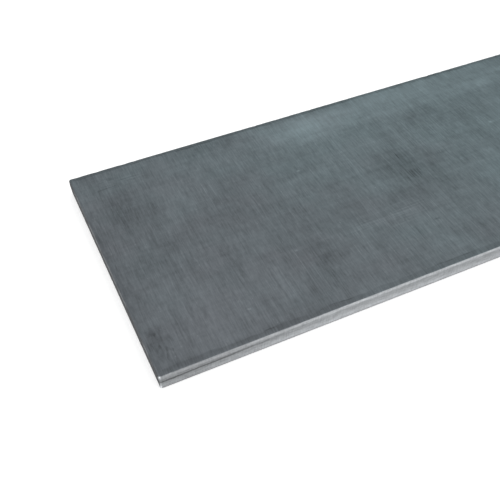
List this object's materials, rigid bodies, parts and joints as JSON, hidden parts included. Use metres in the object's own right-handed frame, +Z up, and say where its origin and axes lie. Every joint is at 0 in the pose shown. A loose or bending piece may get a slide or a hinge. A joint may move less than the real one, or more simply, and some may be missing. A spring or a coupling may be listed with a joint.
{
  "type": "magnesium alloy sheet",
  "caption": "Flat rectangular magnesium alloy sheet, brushed across its width, with guillotined edges; raw stock to cut, form or machine.",
  "frame": {"origin": "centre of the underside, where the sheet rests", "axes": "+X along the length, +Y across the width and along the brush lines, +Z up through the thickness; the guillotine's roll-over is on the top face"},
  "size_m": [0.3, 0.09, 0.006],
  "materials": {
    "magnesium_alloy": "dark brushed mill finish, bright where sheared"
  },
  "bodies": {
    "root": {"magnesium_sheet": "magnesium_alloy"}
  },
  "joints": []
}
